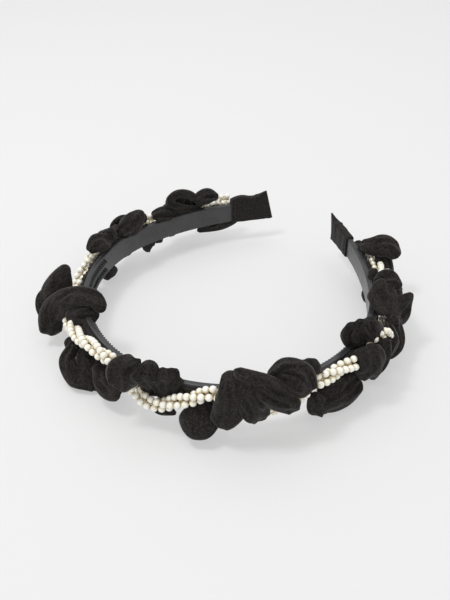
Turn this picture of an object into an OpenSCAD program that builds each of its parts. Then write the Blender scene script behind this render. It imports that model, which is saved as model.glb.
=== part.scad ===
// Headband lying on its side: a plastic horseshoe band with comb teeth, fabric end sleeves,
// a gathered ruffle on the outer face and a rope of three twisted pearl strands.
// Origin: centre of the crown arc at the level of the lowest ruffle petals. +Z is across the band,
// -Y points to the crown and +Y to the open tips. Distances along the band are called "station":
// 0 at the crown, positive on the right arm, measured along the inner face.

/* [Band] */
// Inner radius at the crown
crown_r = 64; // [60:0.5:70]
// Angle of half the crown arc
crown_turn = 36; // [30:1:40]
// Inner radius of the arms
arm_r = 60; // [56:0.5:64]
// Angle of each arm arc
arm_turn = 80; // [76:1:84]
// Inner radius of the nearly straight tips
tip_r = 130; // [110:5:160]
// Width of the band, across Z
band_w = 10; // [8:0.5:12]
// Thickness of the band
band_t = 2.4; // [2:0.1:3]
// Height of the band's lower edge above the ground
band_z = 12; // [10:0.5:14]
// Station of the band's ends
band_end = 182; // [176:0.2:184]

/* [Comb teeth] */
// Distance between teeth
tooth_pitch = 1.6; // [1.4:0.1:3]
// Width of a tooth along the band
tooth_w = 0.7; // [0.5:0.1:1]
// Height of a tooth across the band
tooth_h = 2.6; // [1.5:0.1:3]
// How far a tooth stands out towards the head
tooth_reach = 1.1; // [0.6:0.1:1.5]
// Station of the last tooth on each arm
tooth_end = 88; // [60:2:100]

/* [End sleeves] */
// Station where the sleeve's mouth lies
sleeve_start = 168; // [160:1:172]
// Thickness of the sleeve fabric
sleeve_t = 0.6; // [0.4:0.1:1]

/* [Ruffle] */
// Thickness of one folded petal
petal_t = 3.2; // [2:0.2:4]
// Thickness of the gathered middle of the strip
core_t = 0.9; // [0.8:0.1:1.2]
// Width of the gathered middle of the strip
core_w = 8; // [6:0.5:9]

/* [Pearls] */
// Diameter of a pearl
pearl_d = 3; // [2.5:0.1:3.2]
// Distance between the pearls of one strand
pearl_pitch = 3.1; // [3.1:0.05:4]
// Distance from the middle of the rope to each strand
strand_r = 1.85; // [1.85:0.05:2.2]
// Length of rope in which the strands go round once
lay_length = 46; // [30:1:60]
// Radius of the drilling through a pearl
drill_r = 0.65; // [0.5:0.05:0.7]
// Radius of the stringing thread
thread_r = 0.15; // [0.1:0.05:0.2]

/* [Motion] */
// Station where each arm bends
flex_station = 50; // [46:1:54]
// Angle left open in the soft parts at each bend
flex_room = 22; // [20:1:26]

/* [Hidden] */

$fn = 96;
plastic_grey = [0.13, 0.13, 0.14];
crepe_black = [0.07, 0.065, 0.065];
pearl_cream = [0.93, 0.9, 0.82];

// Plan of the inner face: crown arc, one arm arc and one tip arc on each side.
crown_end = crown_r * crown_turn * PI / 180;
arm_end = crown_end + arm_r * arm_turn * PI / 180;
arm_x = (crown_r - arm_r) * sin(crown_turn);
arm_y = -(crown_r - arm_r) * cos(crown_turn);
tip_x = arm_x + (arm_r - tip_r) * sin(crown_turn + arm_turn);
tip_y = arm_y - (arm_r - tip_r) * cos(crown_turn + arm_turn);
plan_end = 186;
plan_step = 2;
// Each arc: first station, last station, centre x, centre y, inner radius.
ARCS = [
    [-plan_end, -arm_end, -tip_x, tip_y, tip_r],
    [-arm_end, -crown_end, -arm_x, arm_y, arm_r],
    [-crown_end, crown_end, 0, 0, crown_r],
    [crown_end, arm_end, arm_x, arm_y, arm_r],
    [arm_end, plan_end, tip_x, tip_y, tip_r]
];
join_gap = 0.3;
split = flex_station + join_gap / 2;
band_mid = band_z + band_w / 2;
sleeve_gap = 0.1;
glue_t = 0.3;
glue_w = 6;
core_in = band_t + glue_t;
stitch_r = 0.25;

// Degrees that the band has turned at a station, taken from the crown.
function side_turn(a) =
    a < crown_end ? a / crown_r * 180 / PI :
    a < arm_end ? crown_turn + (a - crown_end) / arm_r * 180 / PI :
    crown_turn + arm_turn + (a - arm_end) / tip_r * 180 / PI;
function turn(s) = sign(s) * side_turn(abs(s));
function arc_at(s) = [for (arc = ARCS) if (s >= arc[0] && s <= arc[1]) arc][0];
// A point at station s, out from the inner face by n, at height z.
function at(s, n, z) =
    let (arc = arc_at(s), radius = arc[4] + n)
    [arc[2] + radius * sin(turn(s)), arc[3] - radius * cos(turn(s)), z];

// Puts children at a station: their +X runs along the band, -Y outwards.
module place(s, n, z) {
    translate(at(s, n, z)) rotate([0, 0, turn(s)]) children();
}

// Upright strip that follows the band between two stations. Its plan has a corner at every
// multiple of plan_step, so strips that touch share the same flat faces.
function stations(from, to) = concat(
    [from],
    [for (i = [floor(from / plan_step) + 1 : ceil(to / plan_step) - 1]) i * plan_step],
    [to]);
function plan_point(s, n) = let (p = at(s, n, 0)) [p[0], p[1]];
module strip(from, to, inner, outer, low, high) {
    inner_side = [for (s = stations(from, to)) plan_point(s, inner)];
    outer_side = [for (s = stations(-to, -from)) plan_point(-s, outer)];
    translate([0, 0, low]) linear_extrude(high - low) polygon(concat(inner_side, outer_side));
}

// Band with its two rows of teeth.
module teeth(from, to) {
    first = ceil(from / tooth_pitch);
    last = floor(to / tooth_pitch);
    inset = 1;
    sink = 0.4;
    for (i = [first : last], low = [band_z + inset, band_z + band_w - inset - tooth_h]) {
        place(i * tooth_pitch, 0, low) translate([-tooth_w / 2, -sink, 0])
            cube([tooth_w, tooth_reach + sink, tooth_h]);
    }
}

module band_piece(from, to) {
    color(plastic_grey) {
        strip(from, to, 0, band_t, band_z, band_z + band_w);
        teeth(max(from + tooth_w, -tooth_end), min(to - tooth_w, tooth_end));
    }
}

module band_crown() { band_piece(-split + join_gap, split - join_gap); }
module band_right_arm() { band_piece(split, band_end); }
module band_left_arm() { band_piece(-band_end, -split); }

// Fabric pockets over the tips, and the stitches at their mouths.
module end_sleeve(side) {
    outer = sleeve_gap + sleeve_t;
    close = band_end + outer;
    inside = band_end + sleeve_gap;
    mouth = sleeve_start - 1;
    color(crepe_black) difference() {
        strip(side > 0 ? sleeve_start : -close, side > 0 ? close : -sleeve_start,
            -outer, band_t + outer, band_z - outer, band_z + band_w + outer);
        strip(side > 0 ? mouth : -inside, side > 0 ? inside : -mouth,
            -sleeve_gap, band_t + sleeve_gap, band_z - sleeve_gap, band_z + band_w + sleeve_gap);
    }
}

module sleeve_stitches(side) {
    count = 5;
    stitch_l = 1.2;
    lift = sleeve_gap + sleeve_t;
    step = band_w / count;
    color(crepe_black) for (i = [0 : count - 1]) {
        place(side * (sleeve_start + 1.5), -lift, band_z + (i + 0.5) * step)
            translate([-stitch_r, 0, -stitch_l / 2]) cube([2 * stitch_r, stitch_r, stitch_l]);
    }
}

module left_end_sleeve() { end_sleeve(-1); }
module right_end_sleeve() { end_sleeve(1); }
module left_sleeve_stitches() { sleeve_stitches(-1); }
module right_sleeve_stitches() { sleeve_stitches(1); }

// Two lines of adhesive between the band and the gathered strip, with the gathering thread between.
ruffle_end = sleeve_start - 2;
gather_w = 0.3;
glue_slot = 0.8;
module adhesive(from, to) {
    color("gainsboro") {
        strip(from, to, band_t, core_in, band_mid - glue_w / 2, band_mid - glue_slot / 2);
        strip(from, to, band_t, core_in, band_mid + glue_slot / 2, band_mid + glue_w / 2);
    }
}
module adhesive_crown() { adhesive(-split + 1, split - 1); }
module adhesive_left_arm() { adhesive(-ruffle_end, -split - 1); }
module adhesive_right_arm() { adhesive(split + 1, ruffle_end); }

module gathering_thread(from, to) {
    color("black") strip(from, to, band_t, core_in, band_mid - gather_w / 2, band_mid + gather_w / 2);
}
module gathering_thread_crown() { gathering_thread(-split + 1, split - 1); }
module gathering_thread_left_arm() { gathering_thread(-ruffle_end, -split - 1); }
module gathering_thread_right_arm() { gathering_thread(split + 1, ruffle_end); }

// Route of the pearl rope: station, distance out, height. It climbs across the outside,
// then dips behind the petals and comes up again.
ROUTE = [
    [-168, 7.6, 22], [-158, 7.6, 20], [-147, 7.6, 15], [-136, 7.6, 15], [-124, 7.6, 21],
    [-114, 7.6, 20], [-104, 7.6, 15], [-92, 7.8, 19], [-82, 8, 17], [-70, 8.5, 13],
    [-57, 9, 13], [-44, 8.5, 17.5], [-31, 8, 22.5], [-20, 7.6, 25], [-11, 7.6, 24],
    [-5, 8, 18], [1, 8, 13], [9, 8, 14], [18, 7.6, 19.5], [28, 7.6, 24],
    [37, 8, 19], [46, 8, 15], [54, 8, 18], [61, 8, 22], [69, 7.6, 23],
    [78, 7.6, 22], [87, 8.5, 21], [95, 9.5, 25.5], [102, 10, 20], [110, 9, 14],
    [119, 8, 14], [127, 8, 20], [134, 8, 24], [143, 8, 20], [152, 7.6, 18], [160, 7.6, 19]
];
ROUTE_STATIONS = [for (i = [0 : len(ROUTE) - 1]) [ROUTE[i][0], i]];

// Smooth curve through the route's points.
function clamped(i) = ROUTE[max(0, min(len(ROUTE) - 1, i))];
function smooth(a, b, c, d, t) =
    0.5 * (2 * b + (c - a) * t + (2 * a - 5 * b + 4 * c - d) * t * t
        + (3 * b - a - 3 * c + d) * t * t * t);
function route(u) =
    let (i = min(floor(u), len(ROUTE) - 2))
    smooth(clamped(i - 1), clamped(i), clamped(i + 1), clamped(i + 2), u - i);
function rope_point(u) = let (p = route(u)) at(p[0], p[1], p[2]);

// Rope length against the route's parameter, so that pearls and twist are even.
step_u = 0.1;
last_u = len(ROUTE) - 1.001;
ROPE_LENGTH = [
    for (u = 0, l = 0; u < last_u; l = l + norm(rope_point(u + step_u) - rope_point(u)), u = u + step_u)
        [u, l]
];

function unit(v) = v / norm(v);
function strand_point(u, strand) =
    let (p = route(u),
        forward = unit(rope_point(min(u + 0.02, last_u)) - rope_point(max(u - 0.02, 0))),
        outward = [sin(turn(p[0])), -cos(turn(p[0])), 0],
        across = unit(cross(forward, outward)),
        out = cross(across, forward),
        angle = 360 * (lookup(u, ROPE_LENGTH) / lay_length + strand / 3))
    rope_point(u) + strand_r * (cos(angle) * out + sin(angle) * across);

// Even places along one strand between two stations.
function strand_table(from, to, strand) =
    let (first = lookup(from, ROUTE_STATIONS), last = lookup(to, ROUTE_STATIONS), du = 0.05)
    [for (u = first, l = 0; u <= last;
        l = l + norm(strand_point(u + du, strand) - strand_point(u, strand)), u = u + du) [l, u]];
function strand_places(from, to, strand) =
    let (table = strand_table(from, to, strand),
        length = table[len(table) - 1][0],
        count = floor(length / pearl_pitch))
    [for (i = [0 : count]) lookup(i * length / count, table)];

// Turns children from +Z to a direction.
module point_along(direction) {
    d = unit(direction);
    rotate([0, acos(d[2]), atan2(d[1], d[0])]) children();
}

module drilled_pearl() {
    difference() {
        sphere(d = pearl_d, $fn = 48);
        cylinder(h = 2 * pearl_d, r = drill_r, center = true, $fn = 24);
    }
}

// The pearls of one strand. The crimp bead takes the place of one pearl of strand a.
crimp_place = 17;
module pearls(from, to, strand, skip) {
    places = strand_places(from, to, strand);
    color(pearl_cream) for (i = [0 : len(places) - 1]) {
        if (i != skip) {
            u = places[i];
            translate(strand_point(u, strand))
                point_along(strand_point(u + 0.01, strand) - strand_point(u - 0.01, strand)) drilled_pearl();
        }
    }
}

// The ends that each stretch of rope keeps clear of the bends.
rope_gap = 4.5;
rope_start = -166;
rope_stop = 159;
module pearls_a_crown() { pearls(-flex_station + rope_gap, flex_station - rope_gap, 0, -1); }
module pearls_b_crown() { pearls(-flex_station + rope_gap, flex_station - rope_gap, 1, -1); }
module pearls_c_crown() { pearls(-flex_station + rope_gap, flex_station - rope_gap, 2, -1); }
module pearls_a_left_arm() { pearls(rope_start, -flex_station - rope_gap, 0, -1); }
module pearls_b_left_arm() { pearls(rope_start, -flex_station - rope_gap, 1, -1); }
module pearls_c_left_arm() { pearls(rope_start, -flex_station - rope_gap, 2, -1); }
module pearls_a_right_arm() { pearls(flex_station + rope_gap, rope_stop, 0, crimp_place); }
module pearls_b_right_arm() { pearls(flex_station + rope_gap, rope_stop, 1, -1); }
module pearls_c_right_arm() { pearls(flex_station + rope_gap, rope_stop, 2, -1); }

// Stringing thread: a six-sided tube from pearl centre to pearl centre.
module string(from, to, strand) {
    places = strand_places(from, to, strand);
    sides = 6;
    count = len(places);
    rings = [for (u = places)
        let (d = unit(strand_point(u + 0.01, strand) - strand_point(u - 0.01, strand)),
            a = unit(cross(d, [0.3, 0.2, 1])), b = cross(d, a))
        for (k = [0 : sides - 1])
            strand_point(u, strand) + thread_r * (cos(60 * k) * a + sin(60 * k) * b)];
    walls = [for (i = [0 : count - 2], k = [0 : sides - 1])
        let (j = (k + 1) % sides)
        [i * sides + k, (i + 1) * sides + k, (i + 1) * sides + j, i * sides + j]];
    first_cap = [for (k = [0 : sides - 1]) k];
    last_cap = [for (k = [sides - 1 : -1 : 0]) (count - 1) * sides + k];
    color("ivory") polyhedron(rings, concat(walls, [first_cap, last_cap]), convexity = 10);
}
module string_a_crown() { string(-flex_station + rope_gap, flex_station - rope_gap, 0); }
module string_b_crown() { string(-flex_station + rope_gap, flex_station - rope_gap, 1); }
module string_c_crown() { string(-flex_station + rope_gap, flex_station - rope_gap, 2); }
module string_a_left_arm() { string(rope_start, -flex_station - rope_gap, 0); }
module string_b_left_arm() { string(rope_start, -flex_station - rope_gap, 1); }
module string_c_left_arm() { string(rope_start, -flex_station - rope_gap, 2); }
module string_a_right_arm() { string(flex_station + rope_gap, rope_stop, 0); }
module string_b_right_arm() { string(flex_station + rope_gap, rope_stop, 1); }
module string_c_right_arm() { string(flex_station + rope_gap, rope_stop, 2); }

// Metal bead that closes the end of a stringing thread.
module crimp_bead() {
    u = strand_places(flex_station + rope_gap, rope_stop, 0)[crimp_place];
    crimp_l = 2;
    crimp_r = 1.1;
    color("silver") translate(strand_point(u, 0))
        point_along(strand_point(u + 0.01, 0) - strand_point(u - 0.01, 0)) difference() {
            cylinder(h = crimp_l, r = crimp_r, center = true, $fn = 32);
            cylinder(h = 2 * crimp_l, r = drill_r, center = true, $fn = 24);
        }
}

// Clear nylon loops round the ends of the rope.
module rope_tie(s) {
    u = lookup(s, ROUTE_STATIONS);
    tie_gap = 0.15;
    tie_t = 0.3;
    tie_w = 0.6;
    inner = strand_r + pearl_d / 2 + tie_gap;
    color("white") translate(rope_point(u)) point_along(rope_point(u + 0.02) - rope_point(u - 0.02))
        difference() {
            cylinder(h = tie_w, r = inner + tie_t, center = true, $fn = 48);
            cylinder(h = 2 * tie_w, r = inner, center = true, $fn = 48);
        }
}
module left_rope_tie() { rope_tie(-160); }
module right_rope_tie() { rope_tie(154); }

// Petals of the ruffle: station, height of the tip, distance out of the middle, lean, radius.
UPPER_PETALS = [
    [-159, 30, 7, 10, 7], [-146, 33, 8, 15, 8], [-133, 31, 7, 10, 7], [-119, 31, 7, 10, 7],
    [-106, 32, 8, 20, 8], [-93, 31, 9, 25, 8], [-80, 32, 10, 30, 8.5], [-66, 33, 10, 30, 8.5],
    [-42, 34, 9, 25, 8], [-29, 35, 7, 10, 7.5], [-17, 34, 8, 15, 7], [-4, 33, 7, 10, 6.5],
    [10, 35, 7, 5, 6.5], [31, 35, 7, 5, 7], [42, 36, 8, 10, 7.5],
    [60, 36, 8, 10, 7], [84, 37, 7, 5, 8.5], [97, 36, 9, 20, 8], [111, 35, 10, 25, 8.5],
    [124, 35, 10, 30, 8], [137, 35, 9, 20, 8], [150, 33, 9, 20, 8]
];
LOWER_PETALS = [
    [-152, 2, 7, 10, 7], [-138, 2, 7, 10, 7], [-123, 0.5, 7, 10, 7.5], [-110, 1, 8, 15, 8],
    [-97, 0, 8, 20, 8.5], [-83, 1, 9, 25, 8], [-69, 1, 10, 30, 8.5],
    [-42, 0, 9, 25, 8.5], [-29, 0, 9, 25, 8.5], [-15, 1, 8, 20, 7.5], [7, 3, 7, 5, 6],
    [20, 0, 9, 25, 8], [32, 0.5, 9, 20, 7.5], [43, 1, 8, 10, 7],
    [61, 2, 8, 15, 7], [74, 0, 9, 25, 8.5], [87, 0, 9, 25, 8.5], [101, 1, 9, 20, 8],
    [115, 1, 9, 20, 8], [129, 0, 9, 20, 8.5], [143, 1, 8, 15, 8], [155, 3, 7, 10, 6.5]
];

// A petal runs from its gathered root on the strip to its round tip.
module petal(p, side) {
    s = p[0];
    n = p[2];
    lean = p[3];
    radius = p[4];
    reach = radius * cos(lean) + petal_t / 2 * sin(lean);
    root_w = 6;
    root_h = 3;
    root_low = side > 0 ? band_mid + 0.5 : band_mid - 0.5 - root_h;
    hull() {
        place(s, n, p[1] - side * reach) rotate([90 + side * lean, 0, 0])
            cylinder(h = petal_t, r = radius, center = true, $fn = 12);
        place(s, core_in + core_t / 2, root_low) translate([-root_w / 2, -core_t, 0])
            cube([root_w, core_t, root_h]);
    }
}

// Room that the rope needs, as one straight stretch between each pair of route points.
channel_gap = 0.85;
channel_sides = 8;
rope_room = (strand_r + pearl_d / 2 + channel_gap) / cos(180 / channel_sides);
module rope_channel(from, to) {
    overrun = 2;
    first = floor(lookup(from, ROUTE_STATIONS));
    last = ceil(lookup(to, ROUTE_STATIONS));
    for (u = [first : last - 1]) {
        a = rope_point(min(u, last_u));
        b = rope_point(min(u + 1, last_u));
        translate(a) point_along(b - a) translate([0, 0, -overrun])
            cylinder(h = norm(b - a) + 2 * overrun, r = rope_room, $fn = channel_sides);
    }
}

// Wedge of free space at a bend; the soft parts of both bodies end at its faces.
module flex_wedge(side) {
    wedge_l = 40;
    apex = 2;
    half_w = (wedge_l + apex) * tan(flex_room / 2);
    tall = 60;
    place(side * flex_station, band_t, -5)
        linear_extrude(tall) polygon([[0, apex], [-half_w, -wedge_l], [half_w, -wedge_l]]);
}

module ruffle(from, to) {
    color(crepe_black) difference() {
        union() {
            strip(from, to, core_in, core_in + core_t, band_mid - core_w / 2, band_mid + core_w / 2);
            for (p = UPPER_PETALS) if (p[0] > from && p[0] < to) petal(p, 1);
            for (p = LOWER_PETALS) if (p[0] > from && p[0] < to) petal(p, -1);
        }
        rope_channel(from, to);
        if (from < 0) flex_wedge(-1);
        if (to > 0) flex_wedge(1);
    }
}
module ruffle_crown() { ruffle(-split + 1, split - 1); }
module ruffle_left_arm() { ruffle(-ruffle_end, -split - 1); }
module ruffle_right_arm() { ruffle(split + 1, ruffle_end); }

band_crown();
band_left_arm();
band_right_arm();
left_end_sleeve();
right_end_sleeve();
left_sleeve_stitches();
right_sleeve_stitches();
adhesive_crown();
adhesive_left_arm();
adhesive_right_arm();
gathering_thread_crown();
gathering_thread_left_arm();
gathering_thread_right_arm();
ruffle_crown();
ruffle_left_arm();
ruffle_right_arm();
pearls_a_crown();
pearls_b_crown();
pearls_c_crown();
pearls_a_left_arm();
pearls_b_left_arm();
pearls_c_left_arm();
pearls_a_right_arm();
pearls_b_right_arm();
pearls_c_right_arm();
string_a_crown();
string_b_crown();
string_c_crown();
string_a_left_arm();
string_b_left_arm();
string_c_left_arm();
string_a_right_arm();
string_b_right_arm();
string_c_right_arm();
crimp_bead();
left_rope_tie();
right_rope_tie();
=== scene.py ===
import math
import bmesh
import bpy
import numpy as np
from mathutils import noise as value_noise
from mathutils import Matrix, Vector


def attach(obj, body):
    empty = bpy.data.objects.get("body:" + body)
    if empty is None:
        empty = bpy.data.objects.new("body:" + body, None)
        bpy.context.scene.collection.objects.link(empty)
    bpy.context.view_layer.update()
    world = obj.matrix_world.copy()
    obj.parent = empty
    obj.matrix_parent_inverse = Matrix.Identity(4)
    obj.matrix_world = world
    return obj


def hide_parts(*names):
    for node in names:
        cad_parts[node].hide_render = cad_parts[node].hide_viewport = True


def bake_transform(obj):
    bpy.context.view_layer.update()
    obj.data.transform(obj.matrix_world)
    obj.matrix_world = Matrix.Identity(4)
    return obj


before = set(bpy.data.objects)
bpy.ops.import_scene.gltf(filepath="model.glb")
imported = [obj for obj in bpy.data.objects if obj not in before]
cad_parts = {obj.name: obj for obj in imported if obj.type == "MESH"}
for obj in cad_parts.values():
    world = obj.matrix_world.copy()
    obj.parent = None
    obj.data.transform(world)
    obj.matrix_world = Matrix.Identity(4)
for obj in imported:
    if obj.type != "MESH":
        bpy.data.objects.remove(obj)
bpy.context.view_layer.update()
MM = 0.001

# ---------------------------------------------------------------------------------------------
# Camera. It stands in front of the right side of the crown and looks down into the open
# headband, which lies on its side. It comes first so that everything is made for its view.
# ---------------------------------------------------------------------------------------------
camera_azimuth = math.radians(30.27)
camera_elevation = math.radians(38.54)
camera_roll = math.radians(-0.745)
camera_distance = 330.67 * MM
camera_target = Vector((0.73, -7.2, 17.0)) * MM

back = Vector((math.sin(camera_azimuth) * math.cos(camera_elevation),
               -math.cos(camera_azimuth) * math.cos(camera_elevation),
               math.sin(camera_elevation)))
flat_right = Vector((math.cos(camera_azimuth), math.sin(camera_azimuth), 0))
flat_up = back.cross(flat_right)
right = flat_right * math.cos(camera_roll) + flat_up * math.sin(camera_roll)
up = back.cross(right)
camera_data = bpy.data.cameras.new("camera")
camera_data.lens = 44.58
camera_data.sensor_width = 36
camera_data.clip_start = 0.01
camera = bpy.data.objects.new("camera", camera_data)
bpy.context.collection.objects.link(camera)
place = camera_target + back * camera_distance
camera.matrix_world = Matrix([[right.x, up.x, back.x, place.x], [right.y, up.y, back.y, place.y],
                              [right.z, up.z, back.z, place.z], [0, 0, 0, 1]])
bpy.context.scene.camera = camera

# ---------------------------------------------------------------------------------------------
# Moulded band. One springy horseshoe of dark grey polystyrene, semi-gloss from the mould, with
# softly rounded edges. It is drawn as two halves that meet at the crown, each of which bends
# from the crown into its arm.
# ---------------------------------------------------------------------------------------------
CROWN_R, ARM_R, TIP_R = 64.0, 60.0, 130.0
CROWN_TURN, ARM_TURN = math.radians(36), math.radians(80)
CROWN_END = CROWN_R * CROWN_TURN
ARM_END = CROWN_END + ARM_R * ARM_TURN
BAND_END = 182.0
BAND_T, BAND_W, BAND_Z = 2.4, 10.0, 12.0
BAND_MID = BAND_Z + BAND_W / 2
FLEX_AT, FLEX_SPREAD = 50.0, 26.0


def turned(s):
    """Angle that the band has turned at station s, in radians."""
    a = abs(s)
    if a < CROWN_END:
        t = a / CROWN_R
    elif a < ARM_END:
        t = CROWN_TURN + (a - CROWN_END) / ARM_R
    else:
        t = CROWN_TURN + ARM_TURN + (a - ARM_END) / TIP_R
    return math.copysign(t, s)


def at(s, n, z):
    """Point in metres at station s along the band, n mm out from its inner face, z mm up."""
    a, t = abs(s), abs(turned(s))
    x, y, r = 0.0, 0.0, CROWN_R
    if a >= CROWN_END:
        x += (CROWN_R - ARM_R) * math.sin(CROWN_TURN)
        y -= (CROWN_R - ARM_R) * math.cos(CROWN_TURN)
        r = ARM_R
    if a >= ARM_END:
        x += (ARM_R - TIP_R) * math.sin(CROWN_TURN + ARM_TURN)
        y -= (ARM_R - TIP_R) * math.cos(CROWN_TURN + ARM_TURN)
        r = TIP_R
    x += (r + n) * math.sin(t)
    y -= (r + n) * math.cos(t)
    return Vector((math.copysign(x, s) if s else 0.0, y, z)) * MM


def outward(s):
    t = turned(s)
    return Vector((math.sin(t), -math.cos(t), 0))


def forward(s):
    t = turned(s)
    return Vector((math.cos(t), math.sin(t), 0))


def rounded_profile(low_n, high_n, low_z, high_z, radius, steps=4):
    """Closed outline (n, z) of a rounded rectangle, in mm."""
    corners = [(high_n - radius, high_z - radius, 0), (low_n + radius, high_z - radius, 90),
               (low_n + radius, low_z + radius, 180), (high_n - radius, low_z + radius, 270)]
    points = []
    for n, z, first in corners:
        for i in range(steps + 1):
            a = math.radians(first + 90 * i / steps)
            points.append((n + radius * math.cos(a), z + radius * math.sin(a)))
    return points


def new_object(name, verts, faces, material, smooth=True):
    mesh = bpy.data.meshes.new(name)
    mesh.from_pydata([tuple(v) for v in verts], [], faces)
    mesh.update()
    obj = bpy.data.objects.new(name, mesh)
    bpy.context.collection.objects.link(obj)
    mesh.materials.append(material)
    if smooth:
        mesh.shade_smooth()
    return obj


def swept(name, rings, material):
    """Skin of rings of points, one ring at each station, with capped ends."""
    count = len(rings[0])
    verts = [p for ring in rings for p in ring]
    faces = []
    for i in range(len(rings) - 1):
        for k in range(count):
            j = (k + 1) % count
            faces.append((i * count + k, (i + 1) * count + k, (i + 1) * count + j, i * count + j))
    faces.append(tuple(range(count)))
    faces.append(tuple(reversed(range((len(rings) - 1) * count, len(rings) * count))))
    obj = new_object(name, verts, faces, material)
    outward_faces(obj)
    return obj


def outward_faces(obj):
    bm = bmesh.new()
    bm.from_mesh(obj.data)
    bmesh.ops.remove_doubles(bm, verts=bm.verts, dist=1e-7)
    bmesh.ops.recalc_face_normals(bm, faces=bm.faces)
    bm.to_mesh(obj.data)
    bm.free()


def spread(first, last, step):
    count = max(1, math.ceil(abs(last - first) / step))
    return [first + (last - first) * i / count for i in range(count + 1)]


def bend_with_arm(piece, side):
    """Bakes the piece's placement into its mesh. The two points it works out at the ends of the bend are not
    used.
    """
    at(side * (FLEX_AT - FLEX_SPREAD), 2, BAND_MID)
    at(side * (FLEX_AT + FLEX_SPREAD), 2, BAND_MID)
    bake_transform(piece)


def new_material(name):
    material = bpy.data.materials.new(name)
    material.use_nodes = True
    nodes, links = material.node_tree.nodes, material.node_tree.links
    return material, nodes, links, nodes["Principled BSDF"]


def surface_group(name, outputs):
    """Empty shader node group with a scale and an amount, that puts out masks and heights."""
    group = bpy.data.node_groups.new(name, "ShaderNodeTree")
    for socket, low in (("Scale", 1.0), ("Amount", 1.0)):
        group.interface.new_socket(socket, in_out="INPUT", socket_type="NodeSocketFloat").default_value = low
    for socket in outputs:
        group.interface.new_socket(socket, in_out="OUTPUT", socket_type="NodeSocketFloat")
    return group, group.nodes.new("NodeGroupInput"), group.nodes.new("NodeGroupOutput")


def noise(nodes, scale, detail=4.0, rough=0.55):
    node = nodes.new("ShaderNodeTexNoise")
    node.inputs["Scale"].default_value = scale
    node.inputs["Detail"].default_value = detail
    node.inputs["Roughness"].default_value = rough
    return node


def math_node(nodes, links, operation, a, b=None, c=None):
    node = nodes.new("ShaderNodeMath")
    node.operation = operation
    for socket, value in zip(node.inputs, (a, b, c)):
        if value is None:
            continue
        if isinstance(value, (int, float)):
            socket.default_value = value
        else:
            links.new(value, socket)
    return node.outputs[0]


def ramp(nodes, links, value, stops):
    node = nodes.new("ShaderNodeValToRGB")
    while len(node.color_ramp.elements) < len(stops):
        node.color_ramp.elements.new(0.5)
    for element, (place, colour) in zip(node.color_ramp.elements, stops):
        element.position = place
        element.color = (*colour, 1)
    links.new(value, node.inputs["Fac"])
    return node.outputs["Color"]


# Fine unevenness that every moulded or lacquered piece here has: a slow wave and a fine grain.
mould_grain, group_in, group_out = surface_group("mould_grain", ["Wave", "Grain"])
coords = mould_grain.nodes.new("ShaderNodeTexCoord")
for socket, scale, detail in (("Wave", 140.0, 2.0), ("Grain", 2600.0, 3.0)):
    texture = noise(mould_grain.nodes, scale, detail)
    mould_grain.links.new(coords.outputs["Object"], texture.inputs["Vector"])
    scaled = math_node(mould_grain.nodes, mould_grain.links, "MULTIPLY", group_in.outputs["Scale"], scale)
    mould_grain.links.new(scaled, texture.inputs["Scale"])
    amount = math_node(mould_grain.nodes, mould_grain.links, "MULTIPLY", texture.outputs["Fac"],
                       group_in.outputs["Amount"])
    mould_grain.links.new(amount, group_out.inputs[socket])


def add_grain(nodes, scale):
    """The shared unevenness in one material: a larger scale makes it finer."""
    grain = nodes.new("ShaderNodeGroup")
    grain.node_tree = mould_grain
    grain.inputs["Scale"].default_value = scale
    grain.inputs["Amount"].default_value = 1.0
    return grain


band_plastic, nodes, links, shader = new_material("band_plastic")
grain = add_grain(nodes, 1.0)
grey = ramp(nodes, links, grain.outputs["Wave"],
            [(0.35, (0.030, 0.030, 0.032)), (0.7, (0.044, 0.044, 0.047))])
links.new(grey, shader.inputs["Base Color"])
gloss = math_node(nodes, links, "MULTIPLY_ADD", grain.outputs["Wave"], 0.18, 0.20)
links.new(gloss, shader.inputs["Roughness"])
bump = nodes.new("ShaderNodeBump")
bump.inputs["Strength"].default_value = 0.12
bump.inputs["Distance"].default_value = 0.00008
links.new(grain.outputs["Grain"], bump.inputs["Height"])
links.new(bump.outputs["Normal"], shader.inputs["Normal"])

band_halves = {}
for side, half in ((-1, "left"), (1, "right")):
    stations = spread(0, side * BAND_END, 1.5)
    rings = []
    for s in stations:
        ring = []
        left = min(1.0, max(0.02, (BAND_END - abs(s)) / 2.5))
        shrink = math.sqrt(1 - (1 - left) ** 2) if left < 1 else 1.0
        for n, z in rounded_profile(0, BAND_T, BAND_Z, BAND_Z + BAND_W, 0.45):
            ring.append(at(s, n, BAND_MID + (z - BAND_MID) * (0.72 + 0.28 * shrink)))
        rings.append(ring)
    band_halves[side] = swept(f"band_{half}_half", rings, band_plastic)
    bend_with_arm(band_halves[side], side)
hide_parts("band_crown", "band_left_arm")
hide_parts("band_right_arm")

# ---------------------------------------------------------------------------------------------
# Comb teeth. Two rows of small slanted ridges, part of the same moulding, on the inner face
# from the crown to the middle of each arm. They grip the hair.
# ---------------------------------------------------------------------------------------------
TOOTH_PITCH, TOOTH_END, TOOTH_REACH = 1.6, 88.0, 1.1


def gn_group(name, sockets):
    group = bpy.data.node_groups.new(name, "GeometryNodeTree")
    group.interface.new_socket("Geometry", in_out="INPUT", socket_type="NodeSocketGeometry")
    keys = {}
    for socket, kind in sockets:
        keys[socket] = group.interface.new_socket(socket, in_out="INPUT", socket_type=kind).identifier
    group.interface.new_socket("Geometry", in_out="OUTPUT", socket_type="NodeSocketGeometry")
    return group, keys, group.nodes.new("NodeGroupInput"), group.nodes.new("NodeGroupOutput")


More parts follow.
